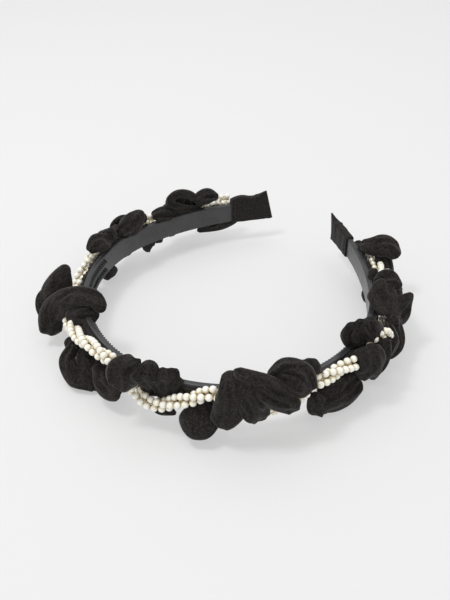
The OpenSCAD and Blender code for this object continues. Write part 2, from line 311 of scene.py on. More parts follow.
# Sets copies of a piece evenly along a path, with its X axis along the path, and gives each
# copy a tone between 0 and 1 of its own.
row_group, row_keys, row_in, row_out = gn_group("row_on_path", [
    ("Count", "NodeSocketInt"), ("Piece", "NodeSocketObject"), ("Finish", "NodeSocketMaterial"),
    ("Seed", "NodeSocketInt")])
to_points = row_group.nodes.new("GeometryNodeCurveToPoints")
to_points.mode = "COUNT"
align = row_group.nodes.new("FunctionNodeAlignRotationToVector")
align.axis = "X"
info = row_group.nodes.new("GeometryNodeObjectInfo")
info.inputs["As Instance"].default_value = True
place_copies = row_group.nodes.new("GeometryNodeInstanceOnPoints")
tone = row_group.nodes.new("FunctionNodeRandomValue")
store = row_group.nodes.new("GeometryNodeStoreNamedAttribute")
store.domain = "INSTANCE"
store.data_type = "FLOAT"
store.inputs["Name"].default_value = "tone"
realize = row_group.nodes.new("GeometryNodeRealizeInstances")
finish = row_group.nodes.new("GeometryNodeSetMaterial")
for a, b in (
        (row_in.outputs["Geometry"], to_points.inputs["Curve"]),
        (row_in.outputs["Count"], to_points.inputs["Count"]),
        (to_points.outputs["Tangent"], align.inputs["Vector"]),
        (to_points.outputs["Points"], place_copies.inputs["Points"]),
        (row_in.outputs["Piece"], info.inputs["Object"]),
        (info.outputs["Geometry"], place_copies.inputs["Instance"]),
        (align.outputs["Rotation"], place_copies.inputs["Rotation"]),
        (place_copies.outputs["Instances"], store.inputs["Geometry"]),
        (row_in.outputs["Seed"], tone.inputs["Seed"]),
        (tone.outputs[1], store.inputs["Value"]),
        (store.outputs["Geometry"], realize.inputs["Geometry"]),
        (realize.outputs["Geometry"], finish.inputs["Geometry"]),
        (row_in.outputs["Finish"], finish.inputs["Material"]),
        (finish.outputs["Geometry"], row_out.inputs["Geometry"])):
    row_group.links.new(a, b)


def row_on_path(name, path, count, piece, material, seed):
    """Plain mesh of count copies of piece along the points of path."""
    curve = bpy.data.curves.new(name + "_path", "CURVE")
    curve.dimensions = "3D"
    spline = curve.splines.new("POLY")
    spline.points.add(len(path) - 1)
    for point, place in zip(spline.points, path):
        point.co = (*place, 1)
    holder = bpy.data.objects.new(name + "_path", curve)
    bpy.context.collection.objects.link(holder)
    modifier = holder.modifiers.new("row", "NODES")
    modifier.node_group = row_group
    modifier[row_keys["Count"]] = count
    modifier[row_keys["Piece"]] = piece
    modifier[row_keys["Finish"]] = material
    modifier[row_keys["Seed"]] = seed
    bpy.context.view_layer.update()
    evaluated = holder.evaluated_get(bpy.context.evaluated_depsgraph_get())
    mesh = bpy.data.meshes.new_from_object(evaluated)
    mesh.name = name
    bpy.data.objects.remove(holder)
    obj = bpy.data.objects.new(name, mesh)
    bpy.context.collection.objects.link(obj)
    mesh.materials.clear()
    mesh.materials.append(material)
    return obj


# One tooth: a slanted ridge, thick at its foot and rounded at its crest.
tooth_h, slant = 2.6, 0.5
tooth_verts, tooth_faces = [], []
crest = [(-0.38, -0.35), (-0.34, 0.45), (-0.2, 0.9), (0.0, 1.05), (0.2, 0.9), (0.34, 0.45), (0.38, -0.35)]
for level, grow in ((-0.5, 0.55), (-0.36, 1.0), (0.36, 1.0), (0.5, 0.55)):
    for along, reach in crest:
        y = reach * grow if reach > 0 else reach
        tooth_verts.append(Vector((along + slant * level * 2, y * TOOTH_REACH, level * tooth_h)) * MM)
for i in range(3):
    for k in range(6):
        a = i * 7 + k
        tooth_faces.append((a, a + 1, a + 8, a + 7))
    tooth_faces.append((i * 7 + 6, i * 7, i * 7 + 7, i * 7 + 13))
tooth_faces += [tuple(reversed(range(7))), tuple(range(21, 28))]
tooth = new_object("tooth_pattern", tooth_verts, tooth_faces, band_plastic)
outward_faces(tooth)
for side, half in ((-1, "left"), (1, "right")):
    for row, height in (("lower", BAND_Z + 2.4), ("upper", BAND_Z + BAND_W - 2.4)):
        ends = sorted((side * 0.8, side * TOOTH_END))
        path = [at(s, 0, height) for s in spread(ends[0], ends[1], 1.0)]
        teeth = row_on_path(f"comb_teeth_{row}_{half}", path, int((TOOTH_END - 0.8) / TOOTH_PITCH) + 1,
                            tooth, band_plastic, 1)
        teeth.data.shade_smooth()
        bend_with_arm(teeth, side)
bpy.data.objects.remove(tooth)

# ---------------------------------------------------------------------------------------------
# End sleeves. A short tube of black crepe is pulled over each tip of the band and sewn flat
# across its end. The right one keeps a small corner standing up at the top of the seam; the left
# one bulges along its top edge and its seam leans back.
# ---------------------------------------------------------------------------------------------
# Crepe: a fine uneven weave of twisted yarn with a random heather tone. The raised threads are also painted a
# little lighter, a painted highlight.
crepe_weave, group_in, group_out = surface_group("crepe_weave", ["Yarn", "Heather"])
coords = crepe_weave.nodes.new("ShaderNodeTexCoord")
for socket, scale, detail in (("Yarn", 1500.0, 3.0), ("Heather", 950.0, 4.0)):
    texture = noise(crepe_weave.nodes, scale, detail, 0.7)
    crepe_weave.links.new(coords.outputs["Object"], texture.inputs["Vector"])
    scaled = math_node(crepe_weave.nodes, crepe_weave.links, "MULTIPLY", group_in.outputs["Scale"], scale)
    crepe_weave.links.new(scaled, texture.inputs["Scale"])
    amount = math_node(crepe_weave.nodes, crepe_weave.links, "MULTIPLY", texture.outputs["Fac"],
                       group_in.outputs["Amount"])
    crepe_weave.links.new(amount, group_out.inputs[socket])


def crepe_material(name, dark, light, hem):
    """Black crepe. With hem, a row of small stitches runs inside the folded edge."""
    material, nodes, links, shader = new_material(name)
    weave = nodes.new("ShaderNodeGroup")
    weave.node_tree = crepe_weave
    weave.inputs["Scale"].default_value = 1.0
    weave.inputs["Amount"].default_value = 1.0
    # The yarn noise raises the threads in the bump and also lightens them, a painted highlight. The heather
    # noise is the yarn's own random tone.
    tone = math_node(nodes, links, "MULTIPLY_ADD", weave.outputs["Yarn"], 0.55,
                     math_node(nodes, links, "MULTIPLY", weave.outputs["Heather"], 0.45))
    height = weave.outputs["Yarn"]
    if hem:
        edge = nodes.new("ShaderNodeUVMap")
        edge.uv_map = "edge"
        split = nodes.new("ShaderNodeSeparateXYZ")
        links.new(edge.outputs["UV"], split.inputs["Vector"])
        off = math_node(nodes, links, "ABSOLUTE",
                        math_node(nodes, links, "SUBTRACT", split.outputs["Y"], 1.7))
        line = math_node(nodes, links, "SUBTRACT", 1.0,
                         math_node(nodes, links, "MINIMUM",
                                   math_node(nodes, links, "MULTIPLY", off, 4.5), 1.0))
        step = math_node(nodes, links, "FRACT", math_node(nodes, links, "MULTIPLY", split.outputs["X"], 0.7))
        gap = math_node(nodes, links, "GREATER_THAN", step, 0.22)
        line = math_node(nodes, links, "MULTIPLY", line, gap)
        tone = math_node(nodes, links, "MULTIPLY_ADD", line, 0.06, tone)
        height = math_node(nodes, links, "MULTIPLY_ADD", line, -0.7, height)
    links.new(ramp(nodes, links, tone, [(0.42, dark), (0.66, light)]), shader.inputs["Base Color"])
    shader.inputs["Roughness"].default_value = 0.88
    shader.inputs["Specular IOR Level"].default_value = 0.22
    shader.inputs["Sheen Weight"].default_value = 0.11
    shader.inputs["Sheen Roughness"].default_value = 0.45
    bump = nodes.new("ShaderNodeBump")
    bump.inputs["Strength"].default_value = 0.75
    bump.inputs["Distance"].default_value = 0.00018
    links.new(height, bump.inputs["Height"])
    links.new(bump.outputs["Normal"], shader.inputs["Normal"])
    return material


sleeve_crepe = crepe_material("sleeve_crepe", (0.0075, 0.0065, 0.006), (0.032, 0.0275, 0.0255), False)
SLEEVE_START, SLEEVE_T = 166.0, 0.45
SLEEVE_END = {-1: 186.4, 1: 184.2}


def sleeve_ring(side, s, wall):
    """Outline of the sleeve at station s: wall 0 is its inner skin and 1 its outer skin."""
    end = SLEEVE_END[side]
    run = (abs(s) - SLEEVE_START) / (end - SLEEVE_START)
    pinch = max(0.0, (abs(s) - BAND_END - 0.3) / (end - BAND_END - 0.3))
    grow = 0.2 + SLEEVE_T * wall
    ring = []
    corner_r = 0.55 + 0.3 * wall
    for n, z in rounded_profile(-grow, BAND_T + grow, BAND_Z - grow, BAND_Z + BAND_W + grow, corner_r, 5):
        high = (z - BAND_MID) / (BAND_W / 2)
        ruck = 0.5 + 0.25 * math.sin(10 * run + 2.2 * high)
        ruck += 0.25 * math.sin(21 * run - 3.1 * high + 2 * side)
        ruck += 1.6 * math.exp(-((run - 0.82 + 0.1 * high) / 0.035) ** 2)
        mid_n = BAND_T / 2
        n = mid_n + (n - mid_n) * (1 + 0.10 * ruck) * (1 - 0.7 * pinch ** 0.7)
        top = max(0.0, high) ** 3
        corner = top * pinch
        if side < 0:
            lean = -1.5 * high * run * run
            rise = (1.3 + 1.4 * run + 0.7 * math.sin(7.5 * run)) * top
        else:
            lean = 1.6 * corner
            rise = 1.2 * corner
        ring.append(at(s + side * lean, n, z + 0.12 * ruck * high + rise))
    return ring


for side, half in ((-1, "left"), (1, "right")):
    inside = spread(side * (SLEEVE_END[side] - SLEEVE_T), side * SLEEVE_START, 0.7)
    outside = spread(side * SLEEVE_START, side * SLEEVE_END[side], 0.5)
    rings = [sleeve_ring(side, s, 0) for s in inside] + [sleeve_ring(side, s, 1) for s in outside]
    sleeve = swept(f"{half}_end_sleeve_cloth", rings, sleeve_crepe)
    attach(sleeve, "left_arm" if side < 0 else "right_arm")
    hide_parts(f"{half}_end_sleeve")

# ---------------------------------------------------------------------------------------------
# Ruffle. One long strip of doubled black crepe, seamed along its edges and gathered on its
# middle line. It is glued to the band in loops that puff out round the pearl rope, so each
# stretch shows as a soft rounded lobe with a rolled rim.
# ---------------------------------------------------------------------------------------------
ruffle_crepe = crepe_material("ruffle_crepe", (0.0040, 0.0033, 0.0030), (0.040, 0.0335, 0.0305), True)

# Each lobe: the places its middle line passes (station, out, height, half width), in mm, and
# the way its broad side faces (along, out, up).
LEFT_LOBES = [
    # over the top edge of the left arm, from its tip
    ([(-148, 3, 27, 3.5), (-154, 3, 28.5, 4), (-159, 3, 27, 2.6)], (0.3, -0.5, 0.8)),
    ([(-150, 3, 21.5, 2.4), (-143, 3, 23, 2.6), (-136, 3, 27, 2.4), (-134, 3, 31, 1.9), (-138, 3, 33.5, 1.9),
      (-144, 3, 31.5, 2.4), (-149, 3, 27, 2.4)], (0.3, -0.7, 0.6)),
    ([(-143, 6, 17, 5), (-141, 7, 24, 6), (-140, 6, 30, 4)], (0, 1, 0.2)),
    ([(-125, 3, 25, 3.3), (-132, 3, 24, 3.8), (-139, 3, 21, 2.6)], (0.4, -0.6, 0.7)),
    ([(-105, 3.5, 24, 3.2), (-111, 3, 25.5, 5), (-118, 3.5, 29, 3.8)], (0.4, -0.6, 0.6)),
    ([(-101, 4, 24, 2.5), (-99, 4, 29, 2.4)], (0.6, -0.3, 0.6)),
    ([(-99, 4, 24.5, 3.6), (-91, 4.5, 27, 4.4), (-86, 6, 26, 3)], (0.6, -0.4, 0.7)),
    # across the outside of the left arm, over the rope
    ([(-163, 5, 15, 4), (-160, 6, 12, 4)], (0, 1, 0)),
    ([(-151, 6, 25, 4.5), (-147, 12.5, 19, 7), (-149, 9, 10, 6)], (0, 1, 0.1)),
    ([(-138, 6, 27, 5), (-138, 12.5, 18, 7), (-135, 8, 9, 5.5)], (0, 1, 0.2)),
    ([(-127, 5, 12, 4), (-129, 6, 9, 4)], (0, 1, 0)),
    ([(-120, 5, 25, 4.5), (-113, 13, 20, 7), (-108, 11, 11, 6)], (0, 1, 0.1)),
    ([(-106, 6, 25, 5), (-100, 12.5, 19, 7), (-98, 10, 8, 6.5)], (0, 1, 0.2)),
    # under its lower edge
    ([(-168, 2.5, 12.5, 3.6), (-159, 3, 10, 3), (-149, 4, 8, 1.8)], (0.3, -0.7, 0.6)),
    ([(-121, 4, 13, 3), (-121.5, 5, 8, 3.4), (-122, 5.5, 4.5, 2.6)], (0.1, 1, 0)),
    ([(-108, 4, 14, 4), (-108, 5, 11, 4), (-107, 5.5, 9.5, 3.4)], (0, 1, 0)),
    ([(-94, 6.5, 14, 4), (-94.5, 5, 8, 5.2), (-95, 4.5, 5, 4.6)], (0.8, -0.1, 0.5)),
    ([(-83, 5, 12, 5), (-83, 9, 7, 6.5), (-82, 9, 2, 5)], (0, 0.9, 0.3)),
    ([(-70, 6, 9, 5), (-69, 11, 5, 6.5), (-68, 10, 1.5, 4.5)], (0.2, 0.9, 0.3)),
    # the knot of loops at the left of the crown
    ([(-57, 9, 15, 4.4), (-60, 15.5, 18.5, 5.6), (-63.5, 12.5, 25, 5.6), (-66, 9, 31.5, 3.4)], (0.8, 0, 0.6)),
    ([(-57, 17, 13, 4.6), (-60, 18.5, 18.5, 5.2), (-62, 16, 23, 4)], (0.8, 0.2, 0.5)),
    ([(-54, 18, 9, 6.2), (-56, 16.5, 15, 6.2), (-54.5, 11, 23, 4.8), (-50.5, 3.5, 28.5, 4),
      (-45.5, -2.5, 29.5, 3.9), (-41.5, -4.5, 26, 3.6)], (0.75, 0.1, 0.65)),
    ([(-50.5, 8.5, 19, 4), (-46, 3.5, 21.5, 5.6), (-44.5, -2, 23.5, 4.6)], (0.7, 0.1, 0.7)),
    ([(-46, 7, 9, 4), (-45, 11, 5, 5)], (0.3, 0.9, 0.2)),
    ([(-38, 11, 13, 3), (-36, 14.5, 8.5, 3.6), (-30, 13.5, 4.5, 4.2), (-24, 10, 3, 3)], (0.7, 0.4, 0.6)),
    ([(-35, 6, 12.5, 4.8), (-29.5, 7.5, 7.5, 6.8), (-22, 6.5, 4, 5.4)], (0.6, 0.5, 0.6)),
    ([(-24, 7, 12, 3.6), (-16, 9, 9.5, 4.4), (-9, 9.5, 10.5, 3.6)], (0.5, 0.6, 0.6)),
    # the broad fold that crosses the rope left of the crown
    ([(0, 8.5, 33.5, 4), (-3, 11, 27.5, 6.8), (-4, 11.5, 20.5, 6)], (0.45, 0.6, 0.6)),
    ([(-41, 4, 10, 5), (-28, 4, 9, 6), (-13, 4, 9.5, 4.6)], (0.55, 0.55, 0.6))]
RIGHT_LOBES = [
    # from the crown to the right: a twisted fold, a round one and a thin one under the rope
    ([(0.5, 9, 29, 3.2), (3.5, 6.5, 25.5, 4.4), (3, 4.2, 17, 4.6), (3, 3.8, 13.5, 4)], (0.4, 0.6, 0.6)),
    ([(1, 8, 27, 2.6), (4.5, 7, 30.5, 3), (4.5, 6, 22, 3)], (0.4, 0.4, 0.8)),
    ([(8, 3.8, 13.5, 4.8), (8.5, 4, 18, 5.4), (9.5, 4.5, 24, 5.8), (11, 4.5, 29, 4.6)], (0.3, 0.7, 0.5)),
    ([(2, 6, 9, 1.8), (7, 6, 8, 2), (12, 5.5, 8.5, 1.8)], (0.3, 0.8, 0.3)),
    # the large folds right of the crown
    ([(21.5, 6, 16, 5), (22, 9, 11.5, 7.2), (22.5, 12.5, 7.5, 7)], (0.1, 0.8, 0.5)),
    ([(33, 7, 33, 4.8), (33, 11, 27.5, 5.2), (32, 11, 19, 5.8), (30, 11, 12.5, 6.2)], (0, 0.8, 0.55)),
    ([(35.5, 8, 35, 3.2), (39.5, 11.5, 26, 5.2), (41, 11, 17.5, 5.8), (42, 8.5, 11, 5)], (0, 0.8, 0.55)),
    ([(34.5, 8, 36, 2.6), (42, 10.5, 31, 4.3), (48.5, 12, 24, 5.2), (53, 12, 17.5, 4.4)], (-0.1, 0.75, 0.6)),
    ([(46, 5, 30, 2), (51, 6, 34, 3), (56.5, 9, 31.5, 3.6), (58, 11.5, 25, 4)], (-0.2, 0.75, 0.6)),
    ([(48, 7, 31, 2.6), (53.5, 10.5, 29, 3.8), (56, 12, 24, 4)], (-0.2, 0.75, 0.6)),
    ([(60.5, 4, 20, 4.8), (60, 4.5, 27, 5.4), (60, 5, 32, 4.8)], (-0.3, 0.75, 0.5)),
    # below the rope on the right front
    ([(63, 6, 14, 3), (64, 8, 8.5, 4), (66, 8, 4, 3.2)], (-0.3, 0.8, 0.4)),
    ([(66, 7, 9.5, 5.8), (74, 8, 9, 6.2), (84, 8, 9.5, 5.4)], (-0.4, 0.7, 0.5)),
    # the upright fold and the ones in front of it
    ([(91.5, 3, 19, 6), (89.5, 3.5, 27.5, 7.4), (88.5, 3.5, 33.5, 7)], (-0.6, 0.6, 0.5)),
    ([(92, 5, 18, 6), (90.5, 6, 26, 7), (89, 5.5, 32.5, 6.6)], (-0.6, 0.6, 0.5)),
    ([(84.5, 10.5, 27, 6), (84, 12, 20, 6.6), (84.5, 10.5, 12.5, 5)], (-0.55, 0.6, 0.5)),
    ([(92.5, 12.5, 26, 3), (91, 13, 18, 3.4), (88, 12, 12, 3)], (-0.6, 0.5, 0.5)),
    ([(95, 6, 12, 5), (96, 10, 7, 6), (96, 9, 2, 4.6)], (-0.2, 0.9, 0.3)),
    ([(101, 9.5, 25, 2.8), (102, 12, 15, 3.8), (102.5, 10.5, 7, 3.4)], (-0.7, 0.4, 0.5)),
    ([(109, 10.5, 22, 3.4), (106, 13, 13, 4.6), (104.5, 12, 6, 4)], (-0.7, 0.4, 0.5)),
    # the star of folds halfway up the right arm
    ([(110, 6.5, 23, 4.5), (117, 5.5, 26, 6), (121, 4.5, 29, 5)], (-0.75, 0.2, 0.6)),
    ([(110, 10, 21, 4.8), (116, 13, 21, 5.4), (120, 17, 25, 2.6)], (-0.75, 0.2, 0.6)),
    ([(124, 3, 28, 3.6), (123, 7, 30, 4.2), (121, 12, 28.5, 2.6)], (-0.7, 0.1, 0.7)),
    ([(127, 7, 26, 4.5), (127, 12.5, 21, 5.5), (127, 12, 12, 6), (127, 9, 5, 4.5)], (-0.2, 1, 0.2)),
    ([(115, 7, 10, 4.5), (115, 11, 5, 6), (114, 10, 1.5, 4)], (-0.2, 0.9, 0.3)),
    # the loop near the right tip and the folds outside it
    ([(137, 3.5, 24, 2.6), (134, 3.5, 20, 2.6), (131, 4, 16, 2.4)], (-0.7, 0.2, 0.6)),
    ([(140, 3, 14, 3), (141, 3.5, 7, 4), (142, 4, 4, 3)], (0.3, -0.9, 0)),
    ([(139, 8, 13, 5), (138, 11, 7, 6), (138, 9, 2, 4.6)], (0, 0.9, 0.3)),
    ([(158, 3.5, 23, 2.8), (152, 7, 26.5, 4.2), (149, 13, 28, 5), (148, 17, 24, 4.4)], (-0.75, 0, 0.65)),
    ([(151, 10.5, 24, 4), (148, 12.5, 18.5, 5), (145, 12.5, 12, 4)], (-0.7, 0.4, 0.5)),
    ([(153, 7, 12, 4.6), (152, 9, 6, 5.6), (153, 8, 2, 4)], (0, 0.9, 0.2)),
    ([(163, 4, 20, 4), (161, 7, 13, 5.5), (161, 7, 6, 4.6)], (0, 1, 0.1))]


# Lowest height of a lobe's middle surface, how far its ends reach past its line as a share of the
# half width, how much fuller the cloth is than its line, and its greatest half thickness.
LOWEST, END_REACH, FULLNESS, LOBE_T = 1.7, 0.4, 1.12, 1.5
# How far folds stand up, in mm: sharp creases along the lobe, then small crumples.
CREASE, CRUMPLE = 3.4, 0.7


def smooth_at(points, i, t):
    """Place a fraction t of the way from point i to the next, on a smooth curve through the points."""
    a, b, c, d = (points[max(0, min(len(points) - 1, k))] for k in (i - 1, i, i + 1, i + 2))
    return 0.5 * (2 * b + (c - a) * t + (2 * a - 5 * b + 4 * c - d) * t * t
                  + (3 * b - a - 3 * c + d) * t ** 3)


def lobe(points, facing, seed, across, length):
    """Front and back of one lobe: a soft flat pillow laid along its middle line."""
    draw = np.random.default_rng(seed)
    phase = draw.uniform(0, 2 * math.pi, 8)
    knots = [np.array(p, float) for p in points]
    path = []
    for i in range(len(knots) - 1):
        for t in np.linspace(0, 1, 12, endpoint=i == len(knots) - 2):
            path.append(smooth_at(knots, i, t))
    spots = [at(*p[:3]) for p in path]
    widths = [p[3] * FULLNESS for p in path]
    faces = [(forward(p[0]) * facing[0] + outward(p[0]) * facing[1] + Vector((0, 0, facing[2]))).normalized()
             for p in path]
    # The rounded ends reach a little past the first and the last place.
    first, last = (spots[0] - spots[1]).normalized(), (spots[-1] - spots[-2]).normalized()
    start = spots[0] + first * widths[0] * END_REACH * MM
    end = spots[-1] + last * widths[-1] * END_REACH * MM
    spots = [start] + spots + [end]
    widths = [widths[0]] + widths + [widths[-1]]
    faces = [faces[0]] + faces + [faces[-1]]
    along = np.concatenate([[0], np.cumsum([(b - a).length for a, b in zip(spots, spots[1:])])]) / MM
    total = along[-1]
    stack = np.array([[*spot, *face, w] for spot, face, w in zip(spots, faces, widths)])

    def on_line(y):
        row = [np.interp(y, along, stack[:, k]) for k in range(7)]
        return Vector(row[:3]), Vector(row[3:6]), row[6]

    half_w = max(widths)
    half_l = total / 2
    straight = max(0.0, half_l - half_w)
    thick = min(LOBE_T, 0.42 * half_w)
    grid, edge = [], []
    for layer in (1, -1):
        for j in range(length + 1):
            for i in range(across + 1):
                p, q = 2 * i / across - 1, 2 * j / length - 1
                x = p * math.sqrt(1 - q * q / 2)
                y = q * math.sqrt(1 - p * p / 2)
                r = min(1.0, math.hypot(x, y))
                down = half_l + straight * q + (half_l - straight) * y
                spot, face, w = on_line(down)
                ahead = (on_line(min(total, down + 0.4))[0] - on_line(max(0.0, down - 0.4))[0]).normalized()
                sideways = ahead.cross(face).normalized()
                face = sideways.cross(ahead)
                v = down / total
                lift = -0.20 * w * x * x
                lift += 0.55 * max(0.0, 1 - 2.2 * v) * math.cos(8 * x + phase[0])
                lift += 0.30 * math.sin(2.7 * x + 4.5 * v + phase[1]) * w / 5
                lift += 0.22 * math.sin(5.2 * x - 6.0 * v + phase[2])
                lift += 0.35 * v * x * x * math.sin(6.0 * v + 2.5 * x + phase[3])
                fold = value_noise.noise(Vector((x * w / 3.4 + seed, v * total / 11 + 0.5 * x, 0.37 * seed)))
                crumple = value_noise.noise(Vector((x * w / 2.1, v * total / 4.5, 0.61 * seed)))
                lift += (CREASE * (0.35 - abs(fold)) + CRUMPLE * crumple) * (1 - 0.45 * r * r)
                ripple = 1 + 0.02 * math.sin(3 * math.atan2(x, y) + phase[4])
                rim = thick * math.sqrt(max(0.0, 1 - r ** 6))
                middle = spot + (sideways * (w * x * ripple) + face * lift) * MM
                middle.z = max(middle.z, (LOWEST + 0.4 * (1 - r * r)) * MM)
                grid.append(middle + face * (layer * rim * MM))
                edge.append((half_w * math.atan2(x, y), (1 - r) * half_w))
    return grid, edge


# Stations between which the gathered middle of the strip lies, and those where it is narrow on
# the right, because the strip is pulled tight under the rope there.
CORE_FROM, CORE_TO = 1.0, 163.0
NARROW_STATIONS = (21, 71)


def gathered_core(side, seed):
    """Rings of the gathered middle of the strip, which lies flat on the outer face of the band."""
    draw = np.random.default_rng(seed)
    phase = draw.uniform(0, 2 * math.pi, 4)
    rings = []
    for a in spread(CORE_FROM, CORE_TO, 0.7):
        s = side * a
        narrow = max(math.exp(-((a - bare) / 6.5) ** 4) for bare in NARROW_STATIONS) if side > 0 else 0.0
        low, high = 12.8 + 0.6 * narrow, 21.2 - 4.0 * narrow
        ends = min(1.0, (a - CORE_FROM + 0.3) / 1.5, (CORE_TO + 0.3 - a) / 1.5)
        pleat = 0.5 + 0.5 * math.sin(2.1 * a + phase[0] + 1.3 * math.sin(0.31 * a + phase[1]))
        ring = []
        for n, z in rounded_profile(BAND_T + 0.05, BAND_T + 0.5 + 0.9 * ends, low, high, 0.24, 3):
            if n > BAND_T + 0.3:
                n += ends * (0.9 * pleat + 0.3 * math.sin(0.9 * z + 0.7 * a + phase[2]))
            ring.append(at(s, n, z + 0.25 * math.sin(0.8 * a + phase[3])))
        rings.append(ring)
    return rings


# Distance from the edge, in mm, that is too far in for the hem stitches to show.
NO_HEM = 9.0


def ruffle(name, side, lobes, first_seed):
    across, length = 20, 30
    per_layer = (across + 1) * (length + 1)
    verts, faces, edges = [], [], []
    for number, (points, facing) in enumerate(lobes):
        base = len(verts)
        grid, edge = lobe(points, facing, first_seed + number, across, length)
        verts += grid
        edges += edge
        for layer in (0, 1):
            for j in range(length):
                for i in range(across):
                    k = base + layer * per_layer + j * (across + 1) + i
                    corners = (k, k + 1, k + across + 2, k + across + 1)
                    faces.append(corners if layer else tuple(reversed(corners)))
    rings = gathered_core(side, first_seed)
    count = len(rings[0])
    base = len(verts)
    for j, ring in enumerate(rings):
        verts += ring
        edges += [(j, NO_HEM)] * count
        if j:
            faces += [(base + (j - 1) * count + k, base + (j - 1) * count + (k + 1) % count,
                       base + j * count + (k + 1) % count, base + j * count + k) for k in range(count)]
    last = base + (len(rings) - 1) * count
    faces += [tuple(first + k for k in range(count)) for first in (base, last)]
    obj = new_object(name, verts, faces, ruffle_crepe)
    edge_map = obj.data.uv_layers.new(name="edge")
    for loop in obj.data.loops:
        edge_map.data[loop.index].uv = edges[loop.vertex_index]
    outward_faces(obj)
    obj.data.shade_smooth()
    return obj


ruffles = {}
for side, half, lobes in ((-1, "left", LEFT_LOBES), (1, "right", RIGHT_LOBES)):
    ruffles[side] = ruffle(f"ruffle_{half}_half", side, lobes, 40 + 40 * side)
    bend_with_arm(ruffles[side], side)
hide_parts("ruffle_left_arm", "ruffle_crown")
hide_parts("ruffle_right_arm")

# ---------------------------------------------------------------------------------------------
# Pearl rope. Three strands of drilled 3 mm beads with a cream pearl lacquer, twisted into one
# rope that climbs across the outside of the band and dips behind the lobes.
# ---------------------------------------------------------------------------------------------
ROUTE = [
    (-168, 7.6, 22), (-158, 7.6, 20), (-147, 7.6, 15), (-136, 7.6, 15), (-124, 7.6, 21),
    (-114, 7.6, 20), (-104, 7.6, 15), (-92, 7.8, 19), (-82, 8, 17), (-70, 8.5, 13),
    (-57, 9, 13), (-44, 8.5, 17.5), (-31, 8, 22.5), (-20, 7.6, 25), (-11, 7.6, 24),
    (-5, 8, 18), (1, 8, 13), (9, 8, 14), (18, 7.6, 19.5), (28, 7.6, 24),
    (37, 8, 19), (46, 8, 15), (54, 8, 18), (61, 8, 22), (69, 7.6, 23),
    (78, 7.6, 22), (87, 8.5, 21), (95, 9.5, 25.5), (102, 10, 20), (110, 9, 14),
    (119, 8, 14), (127, 8, 20), (134, 8, 24), (143, 8, 20), (152, 7.6, 18), (160, 7.6, 19)]
PEARL_D, PEARL_PITCH, STRAND_R, LAY_LENGTH = 3.0, 3.1, 1.85, 46.0
ROPE_START, ROPE_STOP = -166.0, 159.0


def route(u):
    """Place on the smooth route, where u counts its points."""
    i = int(min(math.floor(u), len(ROUTE) - 2))
    return smooth_at(np.array(ROUTE, float), i, u - i)


route_u = np.linspace(0, len(ROUTE) - 1.001, 1600)
route_points = [at(*route(u)) for u in route_u]
route_steps = [(b - a).length for a, b in zip(route_points, route_points[1:])]
route_length = np.concatenate([[0], np.cumsum(route_steps)])
route_station = np.array([route(u)[0] for u in route_u])


def strand_points(strand):
    """Places along one strand, with their stations, from the left end to the right."""
    places, stations = [], []
    for k in range(1, len(route_u) - 1):
        s = route_station[k]
        if not ROPE_START <= s <= ROPE_STOP:
            continue
        ahead = (route_points[k + 1] - route_points[k - 1]).normalized()
        side_way = ahead.cross(outward(s)).normalized()
        out = side_way.cross(ahead)
        angle = 2 * math.pi * (route_length[k] / MM / LAY_LENGTH + strand / 3)
        off = out * math.cos(angle) + side_way * math.sin(angle)
        places.append(route_points[k] + off * (STRAND_R * MM))
        stations.append(s)
    return places, stations


pearl_lacquer, nodes, links, shader = new_material("pearl_lacquer")
tone = nodes.new("ShaderNodeAttribute")
tone.attribute_name = "tone"
# Painted shade: a warm tan is painted into the pearl colour where ambient occlusion finds other beads or the
# cloth close by. Open surfaces keep the cream.
occlusion = nodes.new("ShaderNodeAmbientOcclusion")
occlusion.inputs["Distance"].default_value = 0.0016
occlusion.samples = 8
cream = ramp(nodes, links, tone.outputs["Fac"], [(0.0, (0.95, 0.93, 0.81)), (1.0, (0.99, 0.98, 0.91))])
painted_shade_mix = nodes.new("ShaderNodeMix")
painted_shade_mix.data_type = "RGBA"
links.new(math_node(nodes, links, "POWER", occlusion.outputs["AO"], 1.3), painted_shade_mix.inputs["Factor"])
painted_shade_mix.inputs[6].default_value = (0.62, 0.46, 0.17, 1)
links.new(cream, painted_shade_mix.inputs[7])
links.new(painted_shade_mix.outputs[2], shader.inputs["Base Color"])
grain = add_grain(nodes, 1.6)
gloss = math_node(nodes, links, "MULTIPLY_ADD", grain.outputs["Wave"], 0.10, 0.08)
links.new(gloss, shader.inputs["Roughness"])
shader.inputs["Specular IOR Level"].default_value = 0.75
shader.inputs["Coat Roughness"].default_value = 0.05
shader.inputs["Coat Weight"].default_value = 0.8

# One bead, with few faces because it repeats hundreds of times; its drilling runs along X.
rings, segments = 7, 12
bead_verts = [Vector((-0.5, 0, 0)) * PEARL_D * MM]
for j in range(1, rings):
    a = math.pi * j / rings
    for k in range(segments):
        b = 2 * math.pi * k / segments
        bead_verts.append(Vector((-math.cos(a), math.sin(a) * math.cos(b), math.sin(a) * math.sin(b)))
                          * (PEARL_D / 2 * MM))
bead_verts.append(Vector((0.5, 0, 0)) * PEARL_D * MM)
bead_faces = [(0, 1 + (k + 1) % segments, 1 + k) for k in range(segments)]
for j in range(rings - 2):
    for k in range(segments):
        m = (k + 1) % segments
        bead_faces.append((1 + j * segments + k, 1 + j * segments + m,
                           1 + (j + 1) * segments + m, 1 + (j + 1) * segments + k))
last = len(bead_verts) - 1
bead_faces += [(last, last - segments + k, last - segments + (k + 1) % segments) for k in range(segments)]
bead = new_object("bead_pattern", bead_verts, bead_faces, pearl_lacquer)
outward_faces(bead)

# Stringing thread: fine ivory polyester, seen only where the strand bends.
ivory_thread, nodes, links, shader = new_material("ivory_thread")
grain = add_grain(nodes, 3.0)
links.new(ramp(nodes, links, grain.outputs["Grain"], [(0.3, (0.55, 0.47, 0.34)), (0.7, (0.78, 0.71, 0.57))]),
          shader.inputs["Base Color"])
shader.inputs["Roughness"].default_value = 0.7


